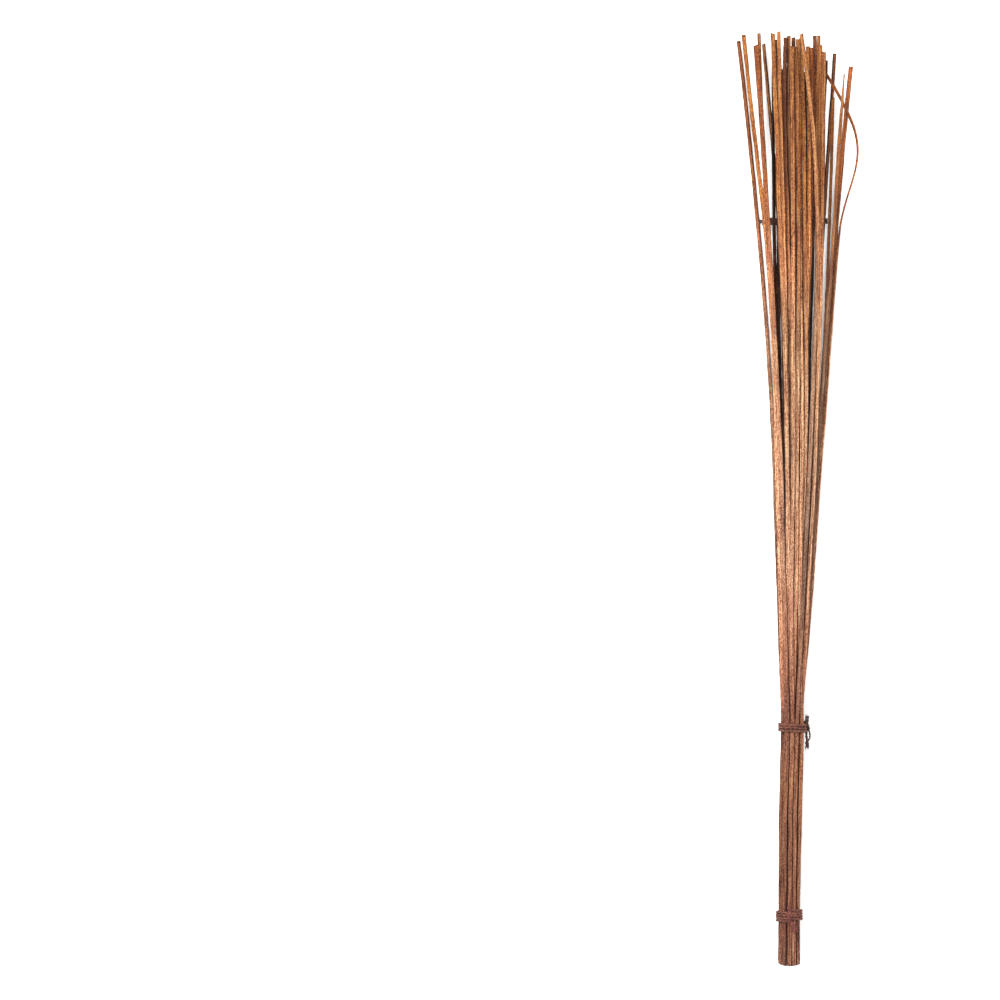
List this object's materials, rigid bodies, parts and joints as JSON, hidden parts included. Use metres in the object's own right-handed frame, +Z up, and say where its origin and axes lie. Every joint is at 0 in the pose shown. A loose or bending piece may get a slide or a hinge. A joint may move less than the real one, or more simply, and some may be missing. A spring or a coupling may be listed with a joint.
{
  "type": "bunch of reeds",
  "caption": "Slender bunch of dried split reeds, straight and tight at the foot and opening into a loose fan, bound with twine near the foot, higher up and in the fan.",
  "frame": {"origin": "middle of the bunch's box on the surface it lies on", "axes": "+Y from the cut foot to the tips, +X to the right across the fan, +Z up, away from the surface"},
  "size_m": [0.1316, 1, 0.058],
  "materials": {
    "golden_reed": "matt",
    "tan_reed": "matt",
    "reddish_reed": "matt",
    "brown_reed": "matt",
    "dark_reed": "matt",
    "twine": "matt"
  },
  "bodies": {
    "root": {"reed_01": "dark_reed", "reed_02": "dark_reed", "reed_03": "dark_reed", "reed_04": "dark_reed", "reed_05": "dark_reed", "reed_06": "reddish_reed", "reed_07": "reddish_reed", "reed_08": "dark_reed", "reed_09": "dark_reed", "reed_10": "reddish_reed", "reed_11": "reddish_reed", "reed_12": "brown_reed", "reed_13": "brown_reed", "reed_14": "dark_reed", "reed_15": "dark_reed", "reed_16": "dark_reed", "reed_17": "dark_reed", "reed_18": "brown_reed", "reed_19": "reddish_reed", "reed_20": "brown_reed", "reed_21": "dark_reed", "reed_22": "brown_reed", "reed_23": "golden_reed", "reed_24": "reddish_reed", "reed_25": "reddish_reed", "reed_26": "brown_reed", "reed_27": "golden_reed", "reed_28": "golden_reed", "reed_29": "tan_reed", "reed_30": "golden_reed", "reed_31": "golden_reed", "reed_32": "golden_reed", "reed_33": "golden_reed", "reed_34": "golden_reed", "reed_35": "golden_reed", "reed_36": "reddish_reed", "reed_37": "golden_reed", "reed_38": "tan_reed", "upper_tie": "twine", "lower_tie": "twine", "back_tie": "twine"}
  },
  "joints": []
}
